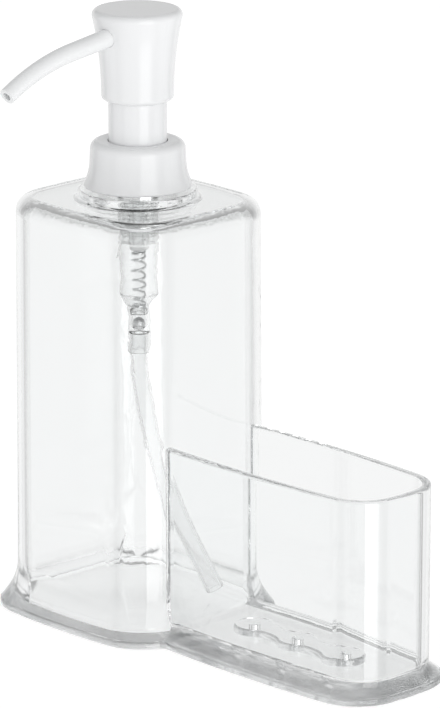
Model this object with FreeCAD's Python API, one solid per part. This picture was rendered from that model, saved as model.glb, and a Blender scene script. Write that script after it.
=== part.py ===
import FreeCAD, Part
import math
import os

os.makedirs("parts", exist_ok=True)
V = FreeCAD.Vector

# Clearances
run_gap = 0.3          # between pieces that move past each other
slide_fit = 0.06       # radial gap of a sealing or guided slide
press_fit = 0.02       # radial gap drawn at a press fit
through = 2.0          # how far a cutting tool runs past the face that it opens

# Bottle: four bowed walls, round corners, a little wider at the foot
bottle_half_x = 36.0
bottle_half_y = 33.5
bottle_bow = 2.8
bottle_corner = 18.2
bottle_draft = 0.55
bottle_height = 139.95
bottle_wall = 2.5
roof_thick = 3.0
shoulder_round = 5.1
roof_round = 3.6

# Foot of the bottle: a cove that widens to the base plate
flare_height = 13.2
flare_out = 3.9
flare_steps = 4
foot_bow = 3.0
foot_corner = 17.4

# Base plate
plate_thick = 2.5
plate_step = 0.5
plate_round = 0.9
plate_pinch_round = 3.0

# Tray beside the bottle: three walls, the bottle closes the fourth side
tray_length = 88.9
tray_half = 21.7
tray_side_bow = 3.2
tray_end_bow = 2.95
tray_corner = 14.4
tray_wall = 2.8
tray_root = 25.5       # how far the side walls' line runs on inside the bottle
tray_bond = 0.6        # depth to which the tray walls run into the bottle wall
tray_floor = 2.8
tray_rim_height = 61.9
tray_floor_round = 2.0
rim_round = 1.0
tray_flare_height = 4.6
tray_flare_end = 2.8
tray_flare_side = 4.4

# Drain pad on the tray floor: three round lobes joined by waists
pad_height = 2.2
pad_lobe = 7.0
pad_waist = 4.0
pad_round = 0.9
drain_count = 3
drain_pitch = 20.2
drain_bore = 2.0
drain_first = 21.0     # from the bottle wall to the first hole

# Neck
boss_radius = 20.0
boss_height = 3.1
boss_round = 0.9
boss_cove = 1.6
neck_radius = 13.3
neck_height = 9.85
neck_wall = 1.6

# Closure
cap_foot_gap = 0.85
cap_thread_gap = 0.4
cap_foot_radius = 18.05
cap_foot_round = 0.6
cap_side_radius = 16.0
cap_flare_height = 9.0
cap_top_taper = 0.2
cap_top_thick = 2.2
cap_top_round = 2.6

# Pump housing
gasket_thick = 1.2
flange_edge = 0.5      # how far the flange stands in from the neck's outer edge
flange_thick = 1.6
barrel_radius = 6.75
barrel_wall = 0.75
barrel_length = 47.1
taper_length = 4.2
taper_lift = 0.4
nozzle_radius = 4.0
spring_pocket_drop = 1.3
retainer_thick = 1.2
pocket_radius = 3.2
vent_radius = 0.5
vent_drop = 7.5

# Ball valves
ball_radius = 2.2
ball_side_gap = 0.4
ball_seat_gap = 0.06
ball_lift = 1.2
seat_throat = 1.4
throat_length = 1.4
retainer_bore = 1.0
retainer_slot_radius = 0.45
retainer_slot_ring = 1.9
retainer_slots = 3

# Dip tube
dip_radius = 3.1
dip_wall = 0.8
dip_socket = 6.3
dip_bend_near = 70.0
dip_bend_far = 190.0
dip_angle_near = 7.0
dip_angle_far = 26.0
dip_end_height = 3.6   # end of the tube's centre line above the base plate
dip_turn_angle = 46.5

# Return spring
spring_length = 20.8
spring_wire = 0.8
spring_radius = 2.5    # to the middle of the wire
spring_turns = 5.0
spring_end_turns = 1.25
spring_end_gap = 0.5
spring_seat_gap = 0.1  # between the spring's upper end and the plug, drawn unloaded

# Stem, plug and piston
plug_radius = 3.6
plug_thick = 2.2
plug_shank = 3.0
rod_radius = 3.0
stem_radius = 4.25
stem_bore = 1.6
piston_gap = 2.4       # from the plug to the piston's lower lip
piston_length = 9.0
piston_lip = 1.6
piston_waist = 0.7
port_radius = 0.8

# Collar fixed in the closure, over which the head slides
collar_radius = 9.7
collar_wall = 1.4
collar_round = 0.7
collar_flange_thick = 1.0
collar_overlap = 4.4   # how far the collar stands up inside the head at rest
guide_rise = 2.3       # guide floor above the closure's top

# Head
head_gap = 13.9        # clear height under the head at rest
stroke = 12.5
head_stop_gap = 0.6    # left over the collar when the head is right down
head_height = 30.3
head_wall = 2.0
head_foot_round = 1.5
head_brow_radius = 14.9
head_brow_drop = 2.3
head_top_radius = 13.4
head_edge_swell = 0.55  # how far the top edge's round stands out from its chord
boss_wall = 2.1
head_boss_length = 9.3
stem_reach = 19.4      # stem's top above the head's lower edge
channel_radius = 1.7

# Spout
spout_height = 24.3    # where its line crosses the pump axis, above the head's lower edge
spout_root = 6.0
spout_angle = 8.4
spout_straight = 22.8
spout_bend = 76.0
spout_tip_angle = 29.0
spout_tip = 3.2
spout_root_radius = 3.15
spout_tip_radius = 2.75
spout_bore = 1.5

# Levels from the ground up
plate_z = plate_thick
flare_z = plate_z + flare_height
shoulder_z = plate_z + bottle_height
tray_floor_z = plate_z + tray_floor
rim_z = tray_floor_z + tray_rim_height
boss_z = shoulder_z + boss_height
neck_z = boss_z + neck_height
flange_z = neck_z + gasket_thick
flange_top_z = flange_z + flange_thick
collar_flange_z = flange_top_z + collar_flange_thick
cap_foot_z = boss_z + cap_foot_gap
cap_ceiling_z = collar_flange_z + run_gap
cap_top_z = cap_ceiling_z + cap_top_thick
head_z = cap_top_z + head_gap
head_top_z = head_z + head_height
collar_top_z = head_z + collar_overlap
guide_z = cap_top_z + guide_rise
head_ceiling_z = collar_top_z + stroke + head_stop_gap
stem_top_z = head_z + stem_reach
barrel_z = flange_z - barrel_length
taper_z = barrel_z - taper_length
spring_z = taper_z - spring_pocket_drop
retainer_z = spring_z - retainer_thick
ball_seat = (ball_radius + ball_seat_gap) * math.sqrt(2) - seat_throat
ball_stack = ball_seat + ball_radius + ball_lift + run_gap
inlet_throat_z = retainer_z - ball_stack
outlet_throat_z = stem_top_z - ball_stack
socket_z = inlet_throat_z - throat_length
nozzle_z = socket_z - dip_socket
plug_z = spring_z + spring_length + spring_seat_gap
rod_z = plug_z + plug_thick
piston_z = rod_z + piston_gap
piston_top_z = piston_z + piston_length
chaplet_z = piston_top_z + run_gap

# Radii that follow from the ones above
neck_bore = neck_radius - neck_wall
cap_bore = neck_radius + cap_thread_gap
flange_radius = neck_radius - flange_edge
collar_flange_radius = flange_radius - run_gap
barrel_bore = barrel_radius - barrel_wall
ball_room = ball_radius + ball_side_gap
guide_bore = stem_radius + run_gap
cap_hole = collar_radius + run_gap
head_bore = collar_radius + run_gap
head_foot_radius = head_bore + head_wall
tray_end_x = bottle_half_x + tray_length
tray_back_x = bottle_half_x - tray_root


def arc(start, middle, end):
    return Part.Arc(start, middle, end).toShape()


def line(start, end):
    return Part.LineSegment(start, end).toShape()


def outline(x0, half_x, half_y, bow_x, bow_y, corner, z):
    """Closed outline about (x0, 0): four bowed sides and four round corners, all tangent."""
    radius_x = (half_y ** 2 + bow_x ** 2) / (2 * bow_x)
    radius_y = (half_x ** 2 + bow_y ** 2) / (2 * bow_y)
    centre_x = V(half_x - radius_x, 0, 0)
    centre_y = V(0, half_y - radius_y, 0)
    reach_x = radius_x - corner
    reach_y = radius_y - corner
    span = centre_y - centre_x
    along = (reach_x ** 2 - reach_y ** 2 + span.Length ** 2) / (2 * span.Length)
    aside = math.sqrt(reach_x ** 2 - along ** 2)
    ahead = span / span.Length
    centre = centre_x + ahead * along + V(-ahead.y, ahead.x, 0) * aside
    end_x = centre_x + (centre - centre_x) * (radius_x / reach_x)
    end_y = centre_y + (centre - centre_y) * (radius_y / reach_y)
    bisector = (end_x - centre) + (end_y - centre)
    tip = centre + bisector * (corner / bisector.Length)
    side_x = V(half_x, 0, 0)
    side_y = V(0, half_y, 0)

    def at(point, sign_x, sign_y):
        return V(x0 + sign_x * point.x, sign_y * point.y, z)

    edges = []
    for sx, sy in ((1, 1), (-1, 1), (-1, -1), (1, -1)):
        if sx == sy:
            edges.append(arc(at(end_x, sx, -sy), at(side_x, sx, 1), at(end_x, sx, sy)))
            edges.append(arc(at(end_x, sx, sy), at(tip, sx, sy), at(end_y, sx, sy)))
        else:
            edges.append(arc(at(end_y, -sx, sy), at(side_y, 1, sy), at(end_y, sx, sy)))
            edges.append(arc(at(end_y, sx, sy), at(tip, sx, sy), at(end_x, sx, sy)))
    return Part.Wire(edges)


def bottle_outline(inset, z, spread=0.0):
    """Bottle outline at height z, inset from its outer wall; spread goes from 0 (wall) to 1 (foot)."""
    lean = bottle_draft * (shoulder_z - z) / bottle_height
    grow = lean - inset + flare_out * spread
    bow = bottle_bow + (foot_bow - bottle_bow) * spread
    corner = bottle_corner - inset + (foot_corner - bottle_corner) * spread
    return outline(0, bottle_half_x + grow, bottle_half_y + grow, bow, bow, corner, z)


def tray_outline(inset, z, spread=0.0):
    """Tray outline at height z, inset from its outer wall; spread goes from 0 (wall) to 1 (foot)."""
    grow = tray_flare_end * spread - inset
    widen = tray_flare_side * spread - inset
    half_x = (tray_end_x - tray_back_x) / 2
    middle = (tray_end_x + tray_back_x) / 2
    return outline(middle, half_x + grow, tray_half + widen, tray_end_bow, tray_side_bow,
                   tray_corner + grow, z)


def loft(wires, ruled=False):
    return Part.makeLoft(wires, True, ruled)


def prism(wire, height):
    return Part.Face(wire).extrude(V(0, 0, height))


def cylinder(radius, low, high, x=0.0, y=0.0):
    return Part.makeCylinder(radius, high - low, V(x, y, low))


def turned(path):
    """Solid turned about the pump axis. A point is (radius, height); a pair of points is an arc."""
    edges = []
    here = V(path[0][0], 0, path[0][1])
    for step in path[1:] + path[:1]:
        if isinstance(step[0], tuple):
            there = V(step[1][0], 0, step[1][1])
            edges.append(arc(here, V(step[0][0], 0, step[0][1]), there))
        else:
            there = V(step[0], 0, step[1])
            if there.distanceToPoint(here) > 1e-6:
                edges.append(line(here, there))
        here = there
    return Part.Face(Part.Wire(edges)).revolve(V(0, 0, 0), V(0, 0, 1), 360)


def round_over(radius, centre, towards):
    """Middle of a quarter round of this radius about centre, on the side named by the two signs."""
    reach = radius * math.sqrt(0.5)
    return (centre[0] + towards[0] * reach, centre[1] + towards[1] * reach)


def cove(side, foot, side_z, foot_z):
    """Middle of the arc that leaves an upright side at side_z and swings out to foot at foot_z."""
    out = foot - side
    rise = foot_z - side_z
    radius = (out ** 2 + rise ** 2) / (2 * out)
    half_turn = math.asin(abs(rise) / radius) / 2
    drop = math.copysign(radius * math.sin(half_turn), rise)
    return (side + radius * (1 - math.cos(half_turn)), side_z + drop)


def edges_at(shape, z, inside=None):
    """Edges that lie flat at height z, and inside the given box in X if there is one."""
    found = []
    for edge in shape.Edges:
        box = edge.BoundBox
        flat = abs(box.ZMin - z) < 1e-4 and abs(box.ZMax - z) < 1e-4
        if flat and (inside is None or (box.XMin > inside[0] and box.XMax < inside[1])):
            found.append(edge)
    return found


def save(shape, name):
    if not shape.isValid() or len(shape.Solids) != 1:
        raise ValueError(name + " is not one sound solid")
    shape.Solids[0].exportStep("parts/" + name + ".step")
    print(name, round(shape.Volume, 1), "mm3")


def make_bottle():
    """Open-bottomed bottle with its foot cove, shoulder, neck boss and neck."""
    walls = loft([bottle_outline(0, flare_z), bottle_outline(0, shoulder_z)], True)
    walls = walls.makeFillet(shoulder_round, edges_at(walls, shoulder_z))
    rings = []
    for step in range(flare_steps + 1):
        share = step / flare_steps
        rings.append(bottle_outline(0, plate_z + flare_height * share, (1 - share) ** 2))
    hull = walls.fuse(loft(rings))
    roof_z = shoulder_z - roof_thick
    hull = hull.fuse([make_boss(roof_z), cylinder(neck_radius, shoulder_z, neck_z)])
    room = loft([bottle_outline(bottle_wall, plate_z - through),
                 bottle_outline(bottle_wall, roof_z)], True)
    room = room.makeFillet(roof_round, edges_at(room, roof_z))
    return hull.cut([room, cylinder(neck_bore, roof_z - through, neck_z + through)])


def make_boss(low):
    """Round boss under the neck, with a cove down to the shoulder."""
    skirt = boss_radius + boss_cove
    brow = boss_radius - boss_round
    return turned([
        (0, low),
        (skirt, low),
        (skirt, shoulder_z),
        (round_over(boss_cove, (skirt, shoulder_z + boss_cove), (-1, -1)),
         (boss_radius, shoulder_z + boss_cove)),
        (boss_radius, boss_z - boss_round),
        (round_over(boss_round, (brow, boss_z - boss_round), (1, 1)), (brow, boss_z)),
        (0, boss_z),
    ])


def make_tray():
    """Tray tub with a rounded rim, a foot cove and the lobed drain pad."""
    cove_z = plate_z + tray_flare_height
    rings = []
    for step in range(flare_steps + 1):
        share = step / flare_steps
        rings.append(tray_outline(0, plate_z + tray_flare_height * share, (1 - share) ** 2))
    tub = prism(tray_outline(0, cove_z), rim_z - cove_z).fuse(loft(rings))
    room = prism(tray_outline(tray_wall, tray_floor_z), rim_z - tray_floor_z)
    room = room.makeFillet(tray_floor_round, edges_at(room, tray_floor_z))
    tub = tub.cut(room).removeSplitter()
    tub = tub.makeFillet(rim_round, edges_at(tub, rim_z))
    return tub.fuse(make_pad())


def drain_x(index):
    return bottle_half_x + drain_first + drain_pitch * index


def make_pad():
    """Raised pad: a round lobe at each drain hole, joined by waists of tangent arcs."""
    half = drain_pitch / 2
    waist = (half ** 2 + pad_waist ** 2 - pad_lobe ** 2) / (2 * (pad_lobe - pad_waist))
    share = pad_lobe / (pad_lobe + waist)
    meet = V(half * share, (pad_waist + waist) * share, 0)
    base = tray_floor_z
    edges = []
    for side in (1, -1):
        lobes = range(drain_count) if side > 0 else range(drain_count - 1, -1, -1)
        for index in lobes:
            middle = V(drain_x(index), 0, base)
            outer = drain_count - 1 if side > 0 else 0
            inner = 0 if side > 0 else drain_count - 1
            start = middle + V(-side * meet.x, side * meet.y, 0)
            end = middle + V(side * meet.x, side * meet.y, 0)
            if index == inner:
                start = middle - V(side * pad_lobe, 0, 0)
            if index == outer:
                end = middle + V(side * pad_lobe, 0, 0)
            crown = V((start.x + end.x) / 2 - middle.x, 0, 0)
            lift = math.sqrt(pad_lobe ** 2 - crown.x ** 2)
            edges.append(arc(start, middle + crown + V(0, side * lift, 0), end))
            if index != outer:
                dip = middle + V(side * half, side * pad_waist, 0)
                edges.append(arc(end, dip, middle + V(side * (drain_pitch - meet.x), side * meet.y, 0)))
    pad = prism(Part.Wire(edges), pad_height)
    return pad.makeFillet(pad_round, edges_at(pad, base + pad_height))


def make_body():
    """One clear moulding: the bottle with the tray's three walls and floor grown onto it."""
    core = loft([bottle_outline(tray_bond, plate_z - through),
                 bottle_outline(tray_bond, shoulder_z)], True)
    face = loft([bottle_outline(0, plate_z - through), bottle_outline(0, shoulder_z)], True)
    bay = prism(tray_outline(tray_wall, tray_floor_z), rim_z - tray_floor_z).cut(face)
    body = make_bottle().cut(bay).fuse(make_tray().cut(core))
    return body.cut(drain_holes())


def drain_holes():
    holes = []
    for index in range(drain_count):
        high = tray_floor_z + pad_height + through
        holes.append(cylinder(drain_bore, -through, high, drain_x(index)))
    return holes


def make_plate():
    """Base plate under bottle and tray, with rounded edges and the drain holes."""
    foot = bottle_outline(-plate_step, 0, 1.0)
    plate = prism(foot, plate_thick).fuse(prism(tray_outline(-plate_step, 0, 1.0), plate_thick))
    plate = plate.removeSplitter()
    pinch = []
    for edge in plate.Edges:
        box = edge.BoundBox
        upright = box.ZLength > plate_thick / 2 and box.XLength < 1e-4 and box.YLength < 1e-4
        straight = edge.Curve.TypeId == "Part::GeomLine"
        if upright and straight and box.XMin > 0 and abs(abs(box.YMin) - tray_half) < tray_corner / 2:
            if box.XMin < bottle_half_x + bottle_corner:
                pinch.append(edge)
    plate = plate.makeFillet(plate_pinch_round, pinch)
    plate = plate.makeFillet(plate_round, edges_at(plate, 0) + edges_at(plate, plate_thick))
    return plate.cut(drain_holes())


def make_closure():
    low = cap_foot_z + cap_foot_round
    flare_top = cap_foot_z + cap_flare_height
    top_radius = cap_side_radius - cap_top_taper
    brow = top_radius - cap_top_round
    return turned([
        (cap_bore, cap_foot_z),
        (cap_foot_radius - cap_foot_round, cap_foot_z),
        (round_over(cap_foot_round, (cap_foot_radius - cap_foot_round, low), (1, -1)),
         (cap_foot_radius, low)),
        (cove(cap_side_radius, cap_foot_radius, flare_top, low), (cap_side_radius, flare_top)),
        (top_radius, cap_top_z - cap_top_round),
        (round_over(cap_top_round, (brow, cap_top_z - cap_top_round), (1, 1)), (brow, cap_top_z)),
        (cap_hole, cap_top_z),
        (cap_hole, cap_ceiling_z),
        (cap_bore, cap_ceiling_z),
    ])


def make_collar():
    """Flange under the closure, sleeve up into the head, and guide tube down into the barrel."""
    plug = barrel_bore - press_fit
    sleeve_bore = collar_radius - collar_wall
    edge = collar_radius - collar_round
    return turned([
        (guide_bore, chaplet_z),
        (plug, chaplet_z),
        (plug, flange_top_z),
        (collar_flange_radius, flange_top_z),
        (collar_flange_radius, collar_flange_z),
        (collar_radius, collar_flange_z),
        (collar_radius, collar_top_z - collar_round),
        (round_over(collar_round, (edge, collar_top_z - collar_round), (1, 1)), (edge, collar_top_z)),
        (sleeve_bore, collar_top_z),
        (sleeve_bore, guide_z),
        (guide_bore, guide_z),
    ])


def make_housing():
    """Barrel with its flange, taper, spring pocket, ball seat and dip tube socket."""
    socket = dip_radius + press_fit
    housing = turned([
        (barrel_bore, flange_top_z),
        (flange_radius, flange_top_z),
        (flange_radius, flange_z),
        (barrel_radius, flange_z),
        (barrel_radius, barrel_z),
        (nozzle_radius, taper_z),
        (nozzle_radius, nozzle_z),
        (socket, nozzle_z),
        (socket, socket_z),
        (seat_throat, socket_z),
        (seat_throat, inlet_throat_z),
        (ball_room, inlet_throat_z + ball_room - seat_throat),
        (ball_room, retainer_z),
        (pocket_radius, retainer_z),
        (pocket_radius, taper_z + taper_lift),
        (barrel_bore, barrel_z + taper_lift),
    ])
    vent_start = V(0, 0, flange_z - vent_drop)
    vent = Part.makeCylinder(vent_radius, barrel_radius + through, vent_start, V(0, 1, 0))
    return housing.cut(vent)


def make_retainer():
    """Slotted disc that keeps the inlet ball in its seat and carries the spring."""
    disc = cylinder(pocket_radius - press_fit, retainer_z, spring_z)
    holes = [cylinder(retainer_bore, retainer_z - through, spring_z + through)]
    for index in range(retainer_slots):
        turn = 2 * math.pi * index / retainer_slots
        holes.append(cylinder(retainer_slot_radius, retainer_z - through, spring_z + through,
                              retainer_slot_ring * math.cos(turn), retainer_slot_ring * math.sin(turn)))
    return disc.cut(holes)


def seated_ball(throat_z):
    """Ball resting in a seat coned at 45 degrees above a throat."""
    return Part.makeSphere(ball_radius, V(0, 0, throat_z + ball_seat))


def make_dip_tube():
    """Tube from the socket, bent in two arcs towards a back corner, then straight to its end."""
    heading = V(math.cos(math.radians(dip_turn_angle)), math.sin(math.radians(dip_turn_angle)), 0)

    def at(out, z):
        return heading * out + V(0, 0, z)

    def bend(out, z, radius, tilt_a, tilt_b):
        points = []
        for tilt in (tilt_a, (tilt_a + tilt_b) / 2, tilt_b):
            a, b = math.radians(tilt_a), math.radians(tilt)
            aside = radius * (math.cos(a) - math.cos(b))
            drop = radius * (math.sin(b) - math.sin(a))
            points.append((out + aside, z - drop))
        return points

    near = bend(0, nozzle_z, dip_bend_near, 0, dip_angle_near)
    far = bend(near[2][0], near[2][1], dip_bend_far, dip_angle_near, dip_angle_far)
    end_z = plate_z + dip_end_height
    run = (far[2][1] - end_z) * math.tan(math.radians(dip_angle_far))
    spine = Part.Wire([
        line(at(0, socket_z), at(0, nozzle_z)),
        arc(*[at(*p) for p in near]),
        arc(*[at(*p) for p in far]),
        line(at(*far[2]), at(far[2][0] + run, end_z)),
    ])
    rings = []
    for radius in (dip_radius, dip_radius - dip_wall):
        circle = Part.Circle(V(0, 0, socket_z), V(0, 0, -1), radius)
        rings.append(spine.makePipeShell([Part.Wire(circle.toShape())], True, False))
    return rings[0].cut(rings[1])


def make_spring():
    """One unbroken wire: open turns between close end turns, with short straight ends."""
    radius = spring_radius
    low = spring_z + spring_wire / 2
    high = spring_z + spring_length - spring_wire / 2
    end_pitch = spring_wire + spring_end_gap
    open_rise = (high - low) - 2 * spring_end_turns * end_pitch
    open_pitch = open_rise / spring_turns
    total = spring_turns + 2 * spring_end_turns

    def height(turn):
        lower = min(turn, spring_end_turns)
        middle = min(max(turn - spring_end_turns, 0), spring_turns)
        upper = max(turn - spring_end_turns - spring_turns, 0)
        return low + (lower + upper) * end_pitch + middle * open_pitch

    def point(turn):
        angle = 2 * math.pi * turn
        return V(radius * math.cos(angle), radius * math.sin(angle), height(turn))

    def heading(turn):
        angle = 2 * math.pi * turn
        pitch = height(min(turn + 0.125, total)) - height(max(turn - 0.125, 0))
        share = min(turn + 0.125, total) - max(turn - 0.125, 0)
        climb = 0 if turn in (0, total) else pitch / share / (2 * math.pi * radius)
        return V(-math.sin(angle), math.cos(angle), climb).normalize()

    edges = []
    count = int(round(total * 4))
    lead = heading(0) * spring_wire
    edges.append(line(point(0) - lead, point(0)))
    for quarter in range(count):
        a, b = point(quarter / 4), point((quarter + 1) / 4)
        ta, tb = heading(quarter / 4), heading((quarter + 1) / 4)
        edges += biarc(a, ta, b, tb)
    edges.append(line(point(total), point(total) + heading(total) * spring_wire))
    spine = Part.Wire(edges)
    circle = Part.Circle(point(0) - lead, heading(0), spring_wire / 2)
    wire = spine.makePipeShell([Part.Wire(circle.toShape())], True, False)
    places = [point(step * total / 400) for step in range(401)]
    least = spring_length
    for i, one in enumerate(places):
        for two in places[i + int(200 / total):]:
            least = min(least, one.distanceToPoint(two) - spring_wire)
    print("spring turns", total, "least gap between turns", round(least, 3))
    return wire


def biarc(a, ta, b, tb):
    """Two arcs from a to b, leaving along ta and arriving along tb."""
    gap = b - a
    both = ta + tb
    square = 2 * (1 - ta.dot(tb))
    dot = gap.dot(both)
    reach = (-dot + math.sqrt(dot ** 2 + square * gap.dot(gap))) / square
    knee_a, knee_b = a + ta * reach, b - tb * reach
    joint = (knee_a + knee_b) / 2
    return [tangent_arc(a, knee_a, joint), tangent_arc(joint, knee_b, b)]


def tangent_arc(start, knee, end):
    """Arc from start to end whose end tangents meet at knee."""
    chord = (start + end) / 2
    half = start.distanceToPoint(end) / 2
    lift = knee - chord
    rise = half * math.tan(math.atan2(lift.Length, half) / 2)
    return arc(start, chord + lift * (rise / lift.Length), end)


def make_piston():
    """Sleeve on the stem's rod with a sealing lip at each end."""
    lip = barrel_bore - slide_fit
    return turned([
        (rod_radius + slide_fit, piston_z),
        (lip, piston_z),
        (lip, piston_z + piston_lip),
        (lip - piston_waist, piston_z + piston_lip + piston_waist),
        (lip - piston_waist, piston_top_z - piston_lip - piston_waist),
        (lip, piston_top_z - piston_lip),
        (lip, piston_top_z),
        (rod_radius + slide_fit, piston_top_z),
    ])


def make_stem():
    """Hollow stem with a thinner rod for the piston, two ports and the outlet ball's seat."""
    stem = turned([
        (stem_bore, rod_z),
        (rod_radius, rod_z),
        (rod_radius, piston_top_z + slide_fit),
        (stem_radius, piston_top_z + slide_fit),
        (stem_radius, stem_top_z),
        (ball_room, stem_top_z),
        (ball_room, outlet_throat_z + ball_room - seat_throat),
        (seat_throat, outlet_throat_z),
        (seat_throat, outlet_throat_z - throat_length),
        (stem_bore, outlet_throat_z - throat_length),
    ])
    port_z = (piston_z + piston_top_z) / 2
    port_start = V(-rod_radius - through, 0, port_z)
    port = Part.makeCylinder(port_radius, 2 * (rod_radius + through), port_start, V(1, 0, 0))
    return stem.cut(port)


def make_plug():
    shank = cylinder(stem_bore - press_fit, plug_z, rod_z + plug_shank)
    return cylinder(plug_radius, plug_z, rod_z).fuse(shank)


def spout_point(along):
    """Point on the straight part of the spout's line, this far out from the pump axis."""
    return V(0, -along, head_z + spout_height - along * math.tan(math.radians(spout_angle)))


def spout_heading(tilt):
    return V(0, -math.cos(math.radians(tilt)), -math.sin(math.radians(tilt)))


def make_head():
    """Waisted head with a skirt over the collar, a boss for the stem and the spout's socket."""
    foot_edge = head_foot_radius - head_foot_round
    foot_top = head_z + head_foot_round
    brow_z = head_top_z - head_brow_drop
    swell = head_edge_swell * math.sqrt(0.5)
    edge_mid = ((head_brow_radius + head_top_radius) / 2 + swell, head_top_z - head_brow_drop / 2 + swell)
    head = turned([
        (0, head_z),
        (foot_edge, head_z),
        (round_over(head_foot_round, (foot_edge, foot_top), (1, -1)), (head_foot_radius, foot_top)),
        (cove(head_foot_radius, head_brow_radius, foot_top, brow_z), (head_brow_radius, brow_z)),
        (edge_mid, (head_top_radius, head_top_z)),
        (0, head_top_z),
    ])
    skirt = cylinder(head_bore, head_z - through, head_ceiling_z)
    boss = cylinder(stem_radius + boss_wall, head_ceiling_z - head_boss_length, head_ceiling_z)
    head = head.cut(skirt.cut(boss))
    start, out = spout_point(0), spout_heading(spout_angle)
    root = spout_point(spout_root)
    return head.cut([
        cylinder(stem_radius + press_fit, head_z, stem_top_z),
        cylinder(channel_radius, stem_top_z - through, start.z),
        Part.makeCylinder(channel_radius, start.distanceToPoint(root) + through, start, out),
        Part.makeCylinder(spout_root_radius + press_fit, head_brow_radius + through, root, out),
    ])


def make_spout():
    """Tapered tube pressed into the head, straight and then bent down to its tip."""
    root, bend = spout_point(spout_root), spout_point(spout_root + spout_straight)
    ends = [bend]
    for tilt in ((spout_angle + spout_tip_angle) / 2, spout_tip_angle):
        a, b = math.radians(spout_angle), math.radians(tilt)
        out = spout_bend * (math.sin(b) - math.sin(a))
        drop = spout_bend * (math.cos(a) - math.cos(b))
        ends.append(bend - V(0, out, drop))
    tip = ends[2] + spout_heading(spout_tip_angle) * spout_tip
    spine = Part.Wire([line(root, bend), arc(*ends), line(ends[2], tip)])
    first = Part.Circle(root, spout_heading(spout_angle), spout_root_radius)
    last = Part.Circle(tip, spout_heading(spout_tip_angle), spout_tip_radius)
    tube = spine.makePipeShell([Part.Wire(first.toShape()), Part.Wire(last.toShape())], True, False)
    bore = Part.Circle(root, spout_heading(spout_angle), spout_bore)
    return tube.cut(spine.makePipeShell([Part.Wire(bore.toShape())], True, False))


def make_gasket():
    ring = cylinder(flange_radius, neck_z, flange_z)
    return ring.cut(cylinder(barrel_radius + run_gap, neck_z - through, flange_z + through))


save(make_body(), "caddy_body")
save(make_plate(), "base_plate")
save(make_closure(), "closure_cap")
save(make_collar(), "guide_collar")
save(make_gasket(), "neck_gasket")
save(make_housing(), "pump_housing")
save(make_dip_tube(), "dip_tube")
save(make_retainer(), "ball_retainer")
save(seated_ball(inlet_throat_z), "inlet_ball")
save(make_spring(), "return_spring")
save(make_piston(), "piston")
save(make_stem(), "pump_stem")
save(make_plug(), "stem_plug")
save(seated_ball(outlet_throat_z), "outlet_ball")
save(make_head(), "actuator_head")
save(make_spout(), "spout_tube")
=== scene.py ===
"""Soap pump caddy: clear bottle and sponge tray with a white press pump, dressed over its CAD frame."""

import math

import bmesh
import bpy
from mathutils import Euler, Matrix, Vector
from mathutils.kdtree import KDTree


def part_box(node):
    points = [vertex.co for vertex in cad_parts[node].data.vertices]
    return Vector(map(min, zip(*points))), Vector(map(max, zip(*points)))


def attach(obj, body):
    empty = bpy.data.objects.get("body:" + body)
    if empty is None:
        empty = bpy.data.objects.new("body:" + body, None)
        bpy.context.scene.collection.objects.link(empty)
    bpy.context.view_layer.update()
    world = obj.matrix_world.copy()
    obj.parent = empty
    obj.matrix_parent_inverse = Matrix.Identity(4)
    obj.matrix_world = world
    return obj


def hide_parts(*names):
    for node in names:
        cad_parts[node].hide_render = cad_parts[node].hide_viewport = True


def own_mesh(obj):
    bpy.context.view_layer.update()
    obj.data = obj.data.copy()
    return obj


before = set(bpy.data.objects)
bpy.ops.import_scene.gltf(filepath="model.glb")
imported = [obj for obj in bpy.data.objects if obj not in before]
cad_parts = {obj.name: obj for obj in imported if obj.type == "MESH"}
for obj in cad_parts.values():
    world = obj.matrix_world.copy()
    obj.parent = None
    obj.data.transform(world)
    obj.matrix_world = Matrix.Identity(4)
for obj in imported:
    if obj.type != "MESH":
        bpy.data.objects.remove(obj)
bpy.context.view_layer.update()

bl_info = {
    "name": "Soap Pump Caddy",
    "version": (1, 0, 0),
    "blender": (4, 5, 0),
    "location": "View3D > Sidebar > Caddy",
    "description": "Dresses a clear soap bottle with a press pump and a sponge tray",
    "category": "Object",
}

MM = 0.001
# Distance within which a CAD node's corners are welded, and within which a corner counts as the CAD's own.
WELD = 1e-7
NEAR = 2e-6
# Angle between faces above which an edge stays crisp.
CRISP = math.radians(24)
# Band of a noise texture's values that is stretched over a whole range.
NOISE_LOW, NOISE_HIGH = 0.3, 0.7
# Noise scales, in features per metre.
FLOW_SCALE, SCUFF_SCALE, CLOUD_SCALE, GRAIN_SCALE = 55.0, 900.0, 40.0, 1400.0
MILK_SCALE, DRAWN_SCALE, CELL_SCALE = 220.0, 2600.0, 1800.0
# Share of the satin height over which the underside is fully satin.
SATIN_SHARE = 0.8
# Steps per turn and sides of the spring wire and the neck thread, and the share of the thread that tapers.
SPRING_STEPS, SPRING_SIDES = 28, 12
THREAD_STEPS, THREAD_SIDES, THREAD_TAPER = 48, 10, 1 / 8
# Half width of the floor, and how far it lies under the base to keep the two faces apart.
FLOOR_REACH, FLOOR_DROP = 6.0, 0.2 * MM
# Turns at which the grey cards stand round the studio, as shares of the whole turn.
CARD_TURNS = (1 / 6, 1 / 3, 2 / 3, 5 / 6)
# Heights in the studio, from 0 straight below to 1 straight above, and its brightness near the horizon.
HORIZON, SKY_START, RIM_TOP, TOP_START = 0.5, 0.53, 0.56, 0.7
LOW_LEVEL, RIM_LEVEL, TOP_STEP = 0.94, 0.9, 0.12
# Point that the lamps face, and the camera's frame and reach.
AIM = Vector((0.03, 0.0, 0.11))
SENSOR_WIDTH, CAMERA_REACH = 36.0, 50.0
WHITE_NODES = ("closure_cap", "guide_collar", "actuator_head")
NATURAL_NODES = ("pump_housing", "dip_tube", "ball_retainer", "piston", "pump_stem", "stem_plug")
STEEL_NODES = ("inlet_ball", "outlet_ball")


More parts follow.
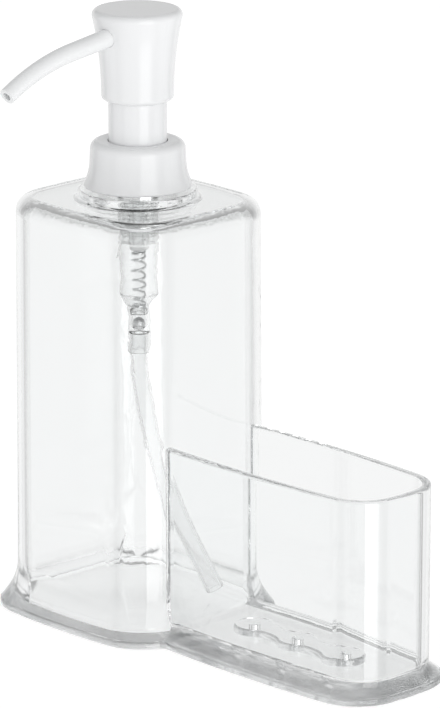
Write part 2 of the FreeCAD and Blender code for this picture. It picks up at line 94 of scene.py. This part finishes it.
class CaddyPlastic(bpy.types.PropertyGroup):
    """Finishes of the caddy's own materials."""

    clear_tint: bpy.props.FloatVectorProperty(
        name="Clear tint", description="Colour of light that passes the clear moulding",
        subtype="COLOR", size=3, min=0, max=1, default=(0.985, 0.992, 0.992))
    clear_ior: bpy.props.FloatProperty(
        name="Clear index", description="Refractive index of the clear moulding",
        default=1.49, min=1, max=2)
    clear_depth: bpy.props.FloatVectorProperty(
        name="Depth colour", description="Colour that thick clear walls take on",
        subtype="COLOR", size=3, min=0, max=1, default=(0.62, 0.66, 0.68))
    clear_density: bpy.props.FloatProperty(
        name="Depth density", description="How fast thick clear walls darken, per metre",
        default=1.5, min=0)
    foot_height: bpy.props.FloatProperty(
        name="Satin height", description="Height up to which the underside is satin and not polished",
        default=0.4 * MM, unit="LENGTH", precision=5)
    foot_rough: bpy.props.FloatProperty(
        name="Foot roughness", description="Roughness of the satin underside", default=0.17, min=0, max=1)
    scuff_rough: bpy.props.FloatProperty(
        name="Scuffs", description="Highest roughness of the polished clear faces",
        default=0.006, min=0, max=1)
    white_colour: bpy.props.FloatVectorProperty(
        name="Pump white", description="Colour of the closure, collar and head",
        subtype="COLOR", size=3, min=0, max=1, default=(0.865, 0.872, 0.88))
    spout_colour: bpy.props.FloatVectorProperty(
        name="Spout white", description="Colour of the spout",
        subtype="COLOR", size=3, min=0, max=1, default=(0.88, 0.89, 0.895))
    white_rough: bpy.props.FloatProperty(
        name="White roughness", description="Lowest roughness of the white plastic",
        default=0.12, min=0, max=1)
    white_ior: bpy.props.FloatProperty(
        name="White index", description="Refractive index of the white plastic", default=1.5, min=1, max=2)
    natural_colour: bpy.props.FloatVectorProperty(
        name="Natural plastic", description="Colour of the barrel and the dip tube",
        subtype="COLOR", size=3, min=0, max=1, default=(0.985, 0.988, 0.988))
    natural_rough: bpy.props.FloatProperty(
        name="Natural roughness", description="Lowest roughness of the milky natural plastic",
        default=0.2, min=0, max=1)
    natural_ior: bpy.props.FloatProperty(
        name="Natural index", description="Refractive index of the natural plastic",
        default=1.22, min=1, max=2)
    guide_top: bpy.props.FloatProperty(
        name="Guide top", description="Height below which the collar's guide tube is left uncoloured",
        default=158.0 * MM, unit="LENGTH", precision=5)
    steel_colour: bpy.props.FloatVectorProperty(
        name="Steel", description="Colour of the return spring",
        subtype="COLOR", size=3, min=0, max=1, default=(0.82, 0.825, 0.83))
    steel_rough: bpy.props.FloatProperty(
        name="Steel roughness", description="Lowest roughness of the spring wire",
        default=0.2, min=0, max=1)
    ball_colour: bpy.props.FloatVectorProperty(
        name="Ball steel", description="Colour of the two valve balls",
        subtype="COLOR", size=3, min=0, max=1, default=(0.94, 0.945, 0.95))
    ball_rough: bpy.props.FloatProperty(
        name="Ball roughness", description="Lowest roughness of the valve balls",
        default=0.45, min=0, max=1)
    gasket_colour: bpy.props.FloatVectorProperty(
        name="Gasket", description="Colour of the neck gasket",
        subtype="COLOR", size=3, min=0, max=1, default=(0.72, 0.72, 0.71))
    gasket_rough: bpy.props.FloatProperty(
        name="Gasket roughness", description="Lowest roughness of the neck gasket",
        default=0.6, min=0, max=1)


class CaddyParts(bpy.types.PropertyGroup):
    """Sizes of the pieces that are made here."""

    spring_wire: bpy.props.FloatProperty(
        name="Spring wire", description="Diameter of the return spring's wire",
        default=0.8 * MM, unit="LENGTH", precision=5)
    spring_turns: bpy.props.FloatProperty(
        name="Open turns", description="Open turns of the return spring", default=5.0, min=1)
    spring_end_turns: bpy.props.FloatProperty(
        name="Close turns", description="Close turns at each end of the spring", default=1.25, min=0.25)
    spring_end_pitch: bpy.props.FloatProperty(
        name="Close pitch", description="Pitch of the close end turns",
        default=1.3 * MM, unit="LENGTH", precision=5)
    thread_pitch: bpy.props.FloatProperty(
        name="Thread pitch", description="Rise of the neck's thread in one turn",
        default=4.23 * MM, unit="LENGTH", precision=5)
    thread_height: bpy.props.FloatProperty(
        name="Thread height", description="How far the thread stands out from the neck",
        default=0.3 * MM, unit="LENGTH", precision=5)
    thread_turns: bpy.props.FloatProperty(
        name="Thread turns", description="Length of the thread in turns", default=1.25, min=0.5)
    neck_radius: bpy.props.FloatProperty(
        name="Neck radius", description="Outer radius of the neck under its thread",
        default=13.3 * MM, unit="LENGTH", precision=5)
    neck_boss: bpy.props.FloatProperty(
        name="Boss height", description="Height of the boss's top face under the neck",
        default=145.55 * MM, unit="LENGTH", precision=5)


class CaddyStage(bpy.types.PropertyGroup):
    """Floor, light and camera."""

    floor_colour: bpy.props.FloatVectorProperty(
        name="Floor", description="Colour of the floor",
        subtype="COLOR", size=3, min=0, max=1, default=(0.3, 0.3, 0.3))
    floor_glow: bpy.props.FloatProperty(
        name="Floor glow", description="Share of the floor's white that does not depend on the lamps",
        default=0.86, min=0, max=1)
    sky_level: bpy.props.FloatProperty(
        name="Ambient", description="Strength of the soft light from above", default=0.56, min=0)
    card_grey: bpy.props.FloatProperty(
        name="Grey cards", description="Brightness of the grey cards round the studio", default=0.22, min=0)
    card_width: bpy.props.FloatProperty(
        name="Card width", description="Half the width of a grey card, as a share of the whole turn",
        default=0.045, min=0.005, max=0.08)
    top_grey: bpy.props.FloatProperty(
        name="Overhead", description="Brightness of the studio overhead", default=0.32, min=0)
    key_power: bpy.props.FloatProperty(
        name="Key", description="Power of the tall lamp on the tray's side",
        default=8.0, min=0, unit="POWER")
    key_place: bpy.props.FloatVectorProperty(
        name="Key place", description="Place of the tall lamp", size=3, subtype="TRANSLATION",
        default=(1.19, -0.39, 0.25))
    key_size: bpy.props.FloatVectorProperty(
        name="Key size", description="Width and height of the tall lamp", size=2, unit="LENGTH",
        default=(0.8, 1.7))
    fill_power: bpy.props.FloatProperty(
        name="Fill", description="Power of the lamp on the spout's side",
        default=0.5, min=0, unit="POWER")
    fill_place: bpy.props.FloatVectorProperty(
        name="Fill place", description="Place of the lamp on the spout's side", size=3,
        subtype="TRANSLATION", default=(-0.7, -0.9, 0.6))
    fill_size: bpy.props.FloatVectorProperty(
        name="Fill size", description="Width and height of the lamp on the spout's side", size=2,
        unit="LENGTH", default=(0.9, 0.9))
    bounces: bpy.props.IntProperty(
        name="Bounces", description="How often light may turn inside the clear walls", default=64, min=4)
    camera_place: bpy.props.FloatVectorProperty(
        name="Camera", description="Place of the camera", size=3, subtype="TRANSLATION",
        default=(1.15024, -1.06961, 0.53784))
    camera_turn: bpy.props.FloatProperty(
        name="Turn", description="Turn of the camera about the upright", subtype="ANGLE",
        default=math.radians(46.09))
    camera_dip: bpy.props.FloatProperty(
        name="Dip", description="How far the camera looks down", subtype="ANGLE",
        default=math.radians(15.98))
    camera_lens: bpy.props.FloatProperty(
        name="Lens", description="Focal length on a 36 mm frame", default=248.51, unit="CAMERA")


def new_material(name):
    """Material with a plain shader and its output, and both nodes."""
    material = bpy.data.materials.new(name)
    material.use_nodes = True
    nodes = material.node_tree.nodes
    nodes.clear()
    output = nodes.new("ShaderNodeOutputMaterial")
    shader = nodes.new("ShaderNodeBsdfPrincipled")
    material.node_tree.links.new(shader.outputs["BSDF"], output.inputs["Surface"])
    return material, shader, output


def object_noise(material, scale, detail=3.0):
    """Noise that is fixed to the object, measured in metres."""
    nodes, links = material.node_tree.nodes, material.node_tree.links
    place = nodes.new("ShaderNodeTexCoord")
    noise = nodes.new("ShaderNodeTexNoise")
    noise.inputs["Scale"].default_value = scale
    noise.inputs["Detail"].default_value = detail
    links.new(place.outputs["Object"], noise.inputs["Vector"])
    return noise


def vary(material, noise, low, high, socket):
    """Runs a socket between two values with the noise."""
    nodes, links = material.node_tree.nodes, material.node_tree.links
    span = nodes.new("ShaderNodeMapRange")
    span.inputs["From Min"].default_value = NOISE_LOW
    span.inputs["From Max"].default_value = NOISE_HIGH
    span.inputs["To Min"].default_value = low
    span.inputs["To Max"].default_value = high
    links.new(noise.outputs["Fac"], span.inputs["Value"])
    links.new(span.outputs["Result"], socket)


def tone(material, noise, low, high, socket):
    """Runs a colour socket between two close colours with the noise."""
    nodes, links = material.node_tree.nodes, material.node_tree.links
    tones = nodes.new("ShaderNodeValToRGB")
    tones.color_ramp.elements[0].position = NOISE_LOW
    tones.color_ramp.elements[0].color = (*low, 1.0)
    tones.color_ramp.elements[1].position = NOISE_HIGH
    tones.color_ramp.elements[1].color = (*high, 1.0)
    links.new(noise.outputs["Fac"], tones.inputs["Fac"])
    links.new(tones.outputs["Color"], socket)


def relief(material, noise, shader, strength, distance):
    """Fine unevenness of a moulded surface."""
    nodes, links = material.node_tree.nodes, material.node_tree.links
    bump = nodes.new("ShaderNodeBump")
    bump.inputs["Strength"].default_value = strength
    bump.inputs["Distance"].default_value = distance
    links.new(noise.outputs["Fac"], bump.inputs["Height"])
    links.new(bump.outputs["Normal"], shader.inputs["Normal"])


def shade(colour, share):
    """Darker copy of a colour."""
    return tuple(min(1.0, c * share) for c in colour)


def clear_moulding(look):
    """Clear polished plastic with faint flow waves, a satin underside and thick walls a little grey."""
    material, shader, output = new_material("clear_moulding")
    nodes, links = material.node_tree.nodes, material.node_tree.links
    waves = object_noise(material, FLOW_SCALE, 1.0)
    tone(material, waves, shade(look.clear_tint, 0.995), look.clear_tint, shader.inputs["Base Color"])
    place = nodes.new("ShaderNodeTexCoord")
    split = nodes.new("ShaderNodeSeparateXYZ")
    links.new(place.outputs["Object"], split.inputs["Vector"])
    foot = nodes.new("ShaderNodeMapRange")
    foot.interpolation_type = "SMOOTHSTEP"
    foot.inputs["From Min"].default_value = look.foot_height * SATIN_SHARE
    foot.inputs["From Max"].default_value = look.foot_height
    foot.inputs["To Min"].default_value = look.foot_rough
    links.new(split.outputs["Z"], foot.inputs["Value"])
    scuffs = object_noise(material, SCUFF_SCALE, 4.0)
    vary(material, scuffs, 0.0, look.scuff_rough, foot.inputs["To Max"])
    links.new(foot.outputs["Result"], shader.inputs["Roughness"])
    shader.inputs["Transmission Weight"].default_value = 1.0
    shader.inputs["IOR"].default_value = look.clear_ior
    depth = nodes.new("ShaderNodeVolumeAbsorption")
    depth.inputs["Color"].default_value = (*look.clear_depth, 1.0)
    depth.inputs["Density"].default_value = look.clear_density
    links.new(depth.outputs["Volume"], output.inputs["Volume"])
    return material


def pump_white(look, name, colour):
    """Opaque white moulded plastic with a fine orange-peel skin."""
    material, shader, _ = new_material(name)
    cloud = object_noise(material, CLOUD_SCALE)
    tone(material, cloud, shade(colour, 0.985), colour, shader.inputs["Base Color"])
    grain = object_noise(material, GRAIN_SCALE, 2.0)
    vary(material, grain, look.white_rough, look.white_rough + 0.06, shader.inputs["Roughness"])
    relief(material, grain, shader, 0.008, 0.08 * MM)
    shader.inputs["IOR"].default_value = look.white_ior
    return material


def natural_plastic(look):
    """Uncoloured milky plastic of the barrel and the dip tube."""
    material, shader, _ = new_material("natural_plastic")
    colour = look.natural_colour
    cloud = object_noise(material, MILK_SCALE)
    tone(material, cloud, shade(colour, 0.98), colour, shader.inputs["Base Color"])
    vary(material, cloud, look.natural_rough, look.natural_rough + 0.06, shader.inputs["Roughness"])
    shader.inputs["Transmission Weight"].default_value = 1.0
    shader.inputs["IOR"].default_value = look.natural_ior
    return material


def bright_steel(name, colour, rough):
    """Drawn steel wire or ground steel balls."""
    material, shader, _ = new_material(name)
    drawn = object_noise(material, DRAWN_SCALE, 2.0)
    tone(material, drawn, shade(colour, 0.95), colour, shader.inputs["Base Color"])
    vary(material, drawn, rough, rough + 0.12, shader.inputs["Roughness"])
    shader.inputs["Metallic"].default_value = 1.0
    return material


def soft_gasket(look):
    """Matt gasket foam."""
    material, shader, _ = new_material("soft_gasket")
    colour = look.gasket_colour
    cells = object_noise(material, CELL_SCALE, 2.0)
    tone(material, cells, shade(colour, 0.9), colour, shader.inputs["Base Color"])
    vary(material, cells, look.gasket_rough, look.gasket_rough + 0.2, shader.inputs["Roughness"])
    relief(material, cells, shader, 0.2, 0.1 * MM)
    return material


def dress(names, material):
    """Gives CAD nodes a material."""
    for name in names:
        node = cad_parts[name]
        node.data.materials.clear()
        node.data.materials.append(material)


def copy_solid(node, name):
    """Closed copy of a CAD node's skin, as a piece of its own."""
    mesh = bpy.data.meshes.new(name)
    skin = bmesh.new()
    skin.from_mesh(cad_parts[node].data)
    bmesh.ops.remove_doubles(skin, verts=skin.verts, dist=WELD)
    skin.to_mesh(mesh)
    skin.free()
    piece = bpy.data.objects.new(name, mesh)
    bpy.context.scene.collection.objects.link(piece)
    return piece


def unite(piece, others):
    """Joins closed pieces into one skin without inner walls."""
    for other in others:
        join = piece.modifiers.new("join", "BOOLEAN")
        join.operation = "UNION"
        join.solver = "EXACT"
        join.object = other
    settle(piece)
    for other in others:
        bpy.data.objects.remove(other)


def settle(piece):
    """Turns what a piece's modifiers give into its own mesh."""
    shown = piece.evaluated_get(bpy.context.evaluated_depsgraph_get())
    mesh = bpy.data.meshes.new_from_object(shown)
    piece.modifiers.clear()
    piece.data = mesh


def polish(piece, nodes):
    """Smooth shading with crisp edges, and the CAD faces' own normals wherever a corner is still theirs."""
    mesh = piece.data
    for face in mesh.polygons:
        face.use_smooth = True
    mesh.set_sharp_from_angle(angle=CRISP)
    solids = [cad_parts[node].data for node in nodes]
    corners = KDTree(sum(len(solid.loops) for solid in solids))
    normals = []
    for solid in solids:
        for face in solid.polygons:
            for loop in face.loop_indices:
                corners.insert(solid.vertices[solid.loops[loop].vertex_index].co, len(normals))
                normals.append((face.normal.copy(), solid.corner_normals[loop].vector.copy()))
    corners.balance()
    kept = []
    for face in mesh.polygons:
        for loop in face.loop_indices:
            place = mesh.vertices[mesh.loops[loop].vertex_index].co
            near = [normals[index] for _, index, _ in corners.find_range(place, NEAR)]
            near = [pair for pair in near if pair[0].dot(face.normal) > math.cos(CRISP)]
            if near:
                kept.append(max(near, key=lambda pair: pair[0].dot(face.normal))[1])
            else:
                kept.append(mesh.corner_normals[loop].vector.copy())
    mesh.normals_split_custom_set(kept)


def tube_mesh(name, path, radius, sides):
    """Closed tube round a path of points, with capped ends."""
    mesh = bpy.data.meshes.new(name)
    build = bmesh.new()
    rings = []
    for index, here in enumerate(path):
        ahead = path[min(index + 1, len(path) - 1)] - path[max(index - 1, 0)]
        ahead.normalize()
        out = Vector((here.x, here.y, 0.0)).normalized()
        out = (out - ahead * out.dot(ahead)).normalized()
        over = ahead.cross(out)
        ring = []
        for side in range(sides):
            angle = 2 * math.pi * side / sides
            ring.append(build.verts.new(here + (out * math.cos(angle) + over * math.sin(angle)) * radius))
        rings.append(ring)
    for low, high in zip(rings, rings[1:]):
        for side in range(sides):
            after = (side + 1) % sides
            build.faces.new((low[side], low[after], high[after], high[side]))
    build.faces.new(list(reversed(rings[0])))
    build.faces.new(rings[-1])
    bmesh.ops.recalc_face_normals(build, faces=build.faces)
    for face in build.faces:
        face.smooth = len(face.verts) == 4
    build.to_mesh(mesh)
    build.free()
    piece = bpy.data.objects.new(name, mesh)
    bpy.context.scene.collection.objects.link(piece)
    return piece


def neck_thread(size):
    """Screw thread on the bottle's neck, under the closure."""
    start = size.neck_boss + size.thread_pitch / 2
    steps = int(size.thread_turns * THREAD_STEPS)
    path = []
    for step in range(steps + 1):
        turn = size.thread_turns * step / steps
        ease = min(1.0, min(step, steps - step) / steps / THREAD_TAPER)
        radius = size.neck_radius - size.thread_height * (2 - ease)
        angle = 2 * math.pi * turn
        path.append(Vector((radius * math.cos(angle), radius * math.sin(angle),
                            start + size.thread_pitch * turn)))
    return tube_mesh("neck_thread", path, 2 * size.thread_height, THREAD_SIDES)


class CADDY_OT_clear(bpy.types.Operator):
    """Clear moulding: bottle, tray and base plate welded into one skin, with the neck's thread"""

    bl_idname = "caddy.clear_moulding"
    bl_label = "Clear Moulding"

    def execute(self, context):
        clear = clear_moulding(context.scene.caddy_plastic)
        dress(("caddy_body", "base_plate"), clear)
        caddy = copy_solid("caddy_body", "clear_caddy")
        unite(caddy, [copy_solid("base_plate", "plate"), neck_thread(context.scene.caddy_parts)])
        polish(caddy, ("caddy_body", "base_plate"))
        caddy.data.materials.clear()
        caddy.data.materials.append(clear)
        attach(caddy, "caddy")
        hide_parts("caddy_body", "base_plate")
        return {"FINISHED"}


class CADDY_OT_pump(bpy.types.Operator):
    """White closure, collar, head and spout"""

    bl_idname = "caddy.white_pump"
    bl_label = "White Pump"

    def execute(self, context):
        look = context.scene.caddy_plastic
        dress(WHITE_NODES, pump_white(look, "pump_white", look.white_colour))
        dress(("spout_tube",), pump_white(look, "spout_white", look.spout_colour))
        return {"FINISHED"}


class CADDY_OT_inner(bpy.types.Operator):
    """Barrel, dip tube, valve balls and gasket inside the bottle"""

    bl_idname = "caddy.inner_pump"
    bl_label = "Inner Pump"

    def execute(self, context):
        look = context.scene.caddy_plastic
        natural = natural_plastic(look)
        dress(NATURAL_NODES, natural)
        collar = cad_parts["guide_collar"].data
        collar.materials.append(natural)
        for face in collar.polygons:
            if face.center.z < look.guide_top:
                face.material_index = 1
        dress(STEEL_NODES, bright_steel("satin_steel", look.ball_colour, look.ball_rough))
        dress(("neck_gasket",), soft_gasket(look))
        return {"FINISHED"}


class CADDY_OT_spring(bpy.types.Operator):
    """Return spring, drawn as one wire with close turns at each end"""

    bl_idname = "caddy.return_spring"
    bl_label = "Return Spring"

    def execute(self, context):
        look, size = context.scene.caddy_plastic, context.scene.caddy_parts
        low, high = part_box("return_spring")
        wire = size.spring_wire
        radius = (high.x - low.x) / 2 - wire / 2
        bottom, top = low.z + wire / 2, high.z - wire / 2
        total = size.spring_turns + 2 * size.spring_end_turns
        close = size.spring_end_turns * size.spring_end_pitch
        path = []
        steps = int(total * SPRING_STEPS)
        for step in range(steps + 1):
            turn = total * step / steps
            lower = min(turn, size.spring_end_turns) * size.spring_end_pitch
            middle = min(max(turn - size.spring_end_turns, 0), size.spring_turns) / size.spring_turns
            upper = max(turn - size.spring_end_turns - size.spring_turns, 0) * size.spring_end_pitch
            angle = 2 * math.pi * turn
            rise = lower + upper + middle * (top - bottom - 2 * close)
            path.append(Vector((radius * math.cos(angle), radius * math.sin(angle), bottom + rise)))
        spring = tube_mesh("spring_wire", path, wire / 2, SPRING_SIDES)
        spring.data.materials.append(bright_steel("bright_steel", look.steel_colour, look.steel_rough))
        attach(spring, "pump_unit")
        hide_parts("return_spring")
        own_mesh(spring)
        return {"FINISHED"}


class CADDY_OT_stage(bpy.types.Operator):
    """Pale floor, soft studio light and the camera"""

    bl_idname = "caddy.stage"
    bl_label = "Stage"

    def execute(self, context):
        stage = context.scene.caddy_stage
        make_floor(stage)
        make_world(stage)
        make_lamp("key_lamp", stage.key_place, stage.key_size, stage.key_power)
        make_lamp("fill_lamp", stage.fill_place, stage.fill_size, stage.fill_power)
        make_camera(stage)
        context.scene.view_settings.view_transform = "Standard"
        context.scene.cycles.max_bounces = stage.bounces
        context.scene.cycles.transmission_bounces = stage.bounces
        context.scene.cycles.glossy_bounces = stage.bounces
        return {"FINISHED"}


def make_floor(stage):
    """Large white floor that keeps a soft shadow; glass and gloss see the studio through it."""
    mesh = bpy.data.meshes.new("floor")
    turns = ((-1, -1), (1, -1), (1, 1), (-1, 1))
    mesh.from_pydata([(x * FLOOR_REACH, y * FLOOR_REACH, 0) for x, y in turns], [], [(0, 1, 2, 3)])
    floor = bpy.data.objects.new("floor", mesh)
    floor.location.z = -FLOOR_DROP
    bpy.context.scene.collection.objects.link(floor)
    material = bpy.data.materials.new("pale_floor")
    material.use_nodes = True
    nodes, links = material.node_tree.nodes, material.node_tree.links
    nodes.clear()
    output = nodes.new("ShaderNodeOutputMaterial")
    paint = nodes.new("ShaderNodeBsdfDiffuse")
    paint.inputs["Color"].default_value = (*stage.floor_colour, 1.0)
    glow = nodes.new("ShaderNodeEmission")
    glow.inputs["Strength"].default_value = stage.floor_glow
    shown = nodes.new("ShaderNodeAddShader")
    links.new(paint.outputs["BSDF"], shown.inputs[0])
    links.new(glow.outputs["Emission"], shown.inputs[1])
    path = nodes.new("ShaderNodeLightPath")
    clear = nodes.new("ShaderNodeBsdfTransparent")
    blend = nodes.new("ShaderNodeMixShader")
    links.new(either(material, path.outputs["Is Glossy Ray"], path.outputs["Is Transmission Ray"]),
              blend.inputs["Fac"])
    links.new(shown.outputs["Shader"], blend.inputs[1])
    links.new(clear.outputs["BSDF"], blend.inputs[2])
    links.new(blend.outputs["Shader"], output.inputs["Surface"])
    mesh.materials.append(material)


def either(owner, one, two):
    """Socket that is 1 where one of two sockets is."""
    nodes, links = owner.node_tree.nodes, owner.node_tree.links
    highest = nodes.new("ShaderNodeMath")
    highest.operation = "MAXIMUM"
    links.new(one, highest.inputs[0])
    links.new(two, highest.inputs[1])
    return highest.outputs["Value"]


def ramp(owner, socket, stops):
    """Grey ramp over a socket, from pairs of place and level."""
    nodes, links = owner.node_tree.nodes, owner.node_tree.links
    greys = nodes.new("ShaderNodeValToRGB")
    elements = greys.color_ramp.elements
    greys.color_ramp.interpolation = "EASE"
    while len(elements) < len(stops):
        elements.new(1.0)
    for element, (place, level) in zip(elements, stops):
        element.position = place
        element.color = (level, level, level, 1.0)
    links.new(socket, greys.inputs["Fac"])
    return greys.outputs["Color"]


def make_world(stage):
    """White studio, dimmer overhead, with narrow grey cards all round that draw the clear edges."""
    world = bpy.data.worlds.new("studio")
    bpy.context.scene.world = world
    world.use_nodes = True
    nodes, links = world.node_tree.nodes, world.node_tree.links
    nodes.clear()
    output = nodes.new("ShaderNodeOutputWorld")
    place = nodes.new("ShaderNodeTexCoord")
    turn = nodes.new("ShaderNodeMapping")
    turn.inputs["Rotation"].default_value = (0, 0, -stage.camera_turn - math.pi / 2)
    links.new(place.outputs["Generated"], turn.inputs["Vector"])
    around = nodes.new("ShaderNodeTexGradient")
    around.gradient_type = "RADIAL"
    links.new(turn.outputs["Vector"], around.inputs["Vector"])
    stops = [(0.0, 1.0)]
    for card in CARD_TURNS:
        stops += [(card - stage.card_width, 1.0), (card, stage.card_grey), (card + stage.card_width, 1.0)]
    cards = ramp(world, around.outputs["Fac"], stops + [(1.0, 1.0)])
    split = nodes.new("ShaderNodeSeparateXYZ")
    links.new(turn.outputs["Vector"], split.inputs["Vector"])
    lift = nodes.new("ShaderNodeMapRange")
    lift.inputs["From Min"].default_value = -1.0
    links.new(split.outputs["Z"], lift.inputs["Value"])
    height = ramp(world, lift.outputs["Result"], [
        (0.0, LOW_LEVEL), (HORIZON, LOW_LEVEL), (RIM_TOP, RIM_LEVEL),
        (TOP_START, stage.top_grey + TOP_STEP), (1.0, stage.top_grey)])
    both = nodes.new("ShaderNodeMix")
    both.data_type, both.blend_type = "RGBA", "MULTIPLY"
    both.inputs["Factor"].default_value = 1.0
    links.new(cards, both.inputs["A"])
    links.new(height, both.inputs["B"])
    path = nodes.new("ShaderNodeLightPath")
    soft = nodes.new("ShaderNodeBackground")
    dim = ramp(world, lift.outputs["Result"], [
        (0.0, 1.0), (HORIZON, 1.0), (SKY_START, stage.sky_level), (1.0, stage.sky_level)])
    links.new(dim, soft.inputs["Color"])
    studio = nodes.new("ShaderNodeBackground")
    links.new(both.outputs["Result"], studio.inputs["Color"])
    plain = nodes.new("ShaderNodeBackground")
    plain.inputs["Color"].default_value = (1.0, 1.0, 1.0, 1.0)
    inner = nodes.new("ShaderNodeMixShader")
    direct = nodes.new("ShaderNodeMath")
    direct.operation = "LESS_THAN"
    direct.inputs[1].default_value = 0.5
    links.new(path.outputs["Diffuse Depth"], direct.inputs[0])
    sharp = nodes.new("ShaderNodeMath")
    sharp.operation = "MINIMUM"
    links.new(direct.outputs["Value"], sharp.inputs[0])
    links.new(either(world, path.outputs["Is Glossy Ray"], path.outputs["Is Transmission Ray"]),
              sharp.inputs[1])
    links.new(sharp.outputs["Value"], inner.inputs["Fac"])
    links.new(soft.outputs["Background"], inner.inputs[1])
    links.new(studio.outputs["Background"], inner.inputs[2])
    outer = nodes.new("ShaderNodeMixShader")
    links.new(path.outputs["Is Camera Ray"], outer.inputs["Fac"])
    links.new(inner.outputs["Shader"], outer.inputs[1])
    links.new(plain.outputs["Background"], outer.inputs[2])
    links.new(outer.outputs["Shader"], output.inputs["Surface"])


def make_lamp(name, place, size, power):
    """Rectangular soft lamp aimed at the middle of the caddy."""
    lamp = bpy.data.lights.new(name, "AREA")
    lamp.shape = "RECTANGLE"
    lamp.size, lamp.size_y = size
    lamp.energy = power
    holder = bpy.data.objects.new(name, lamp)
    holder.location = place
    aim = AIM - holder.location
    holder.rotation_euler = aim.to_track_quat("-Z", "Y").to_euler()
    bpy.context.scene.collection.objects.link(holder)


def make_camera(stage):
    """Camera at the photograph's place."""
    camera = bpy.data.cameras.new("camera")
    camera.sensor_width = SENSOR_WIDTH
    camera.lens = stage.camera_lens
    camera.clip_end = CAMERA_REACH
    holder = bpy.data.objects.new("camera", camera)
    holder.location = stage.camera_place
    holder.rotation_euler = Euler((math.pi / 2 - stage.camera_dip, 0.0, stage.camera_turn))
    bpy.context.scene.collection.objects.link(holder)
    bpy.context.scene.camera = holder


class CADDY_PT_panel(bpy.types.Panel):
    """Steps that dress the caddy"""

    bl_idname = "CADDY_PT_panel"
    bl_label = "Soap Pump Caddy"
    bl_space_type = "VIEW_3D"
    bl_region_type = "UI"
    bl_category = "Caddy"

    def draw(self, context):
        for step in STEPS:
            self.layout.operator(step.bl_idname)
        for group, _ in GROUPS:
            settings = getattr(context.scene, group)
            box = self.layout.box()
            for name in settings.bl_rna.properties.keys():
                if name not in ("rna_type", "name"):
                    box.prop(settings, name)


GROUPS = (("caddy_plastic", CaddyPlastic), ("caddy_parts", CaddyParts), ("caddy_stage", CaddyStage))
STEPS = (CADDY_OT_clear, CADDY_OT_pump, CADDY_OT_inner, CADDY_OT_spring, CADDY_OT_stage)


def register():
    """Adds the settings, the steps and the panel."""
    for name, group in GROUPS:
        bpy.utils.register_class(group)
        setattr(bpy.types.Scene, name, bpy.props.PointerProperty(type=group))
    for step in STEPS + (CADDY_PT_panel,):
        bpy.utils.register_class(step)


def unregister():
    """Takes the panel, the steps and the settings away again."""
    for step in reversed(STEPS + (CADDY_PT_panel,)):
        bpy.utils.unregister_class(step)
    for name, group in reversed(GROUPS):
        delattr(bpy.types.Scene, name)
        bpy.utils.unregister_class(group)


def main():
    """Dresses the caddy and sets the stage."""
    register()
    bpy.ops.caddy.clear_moulding()
    bpy.ops.caddy.white_pump()
    bpy.ops.caddy.inner_pump()
    bpy.ops.caddy.return_spring()
    bpy.ops.caddy.stage()


if __name__ == "__main__":
    main()
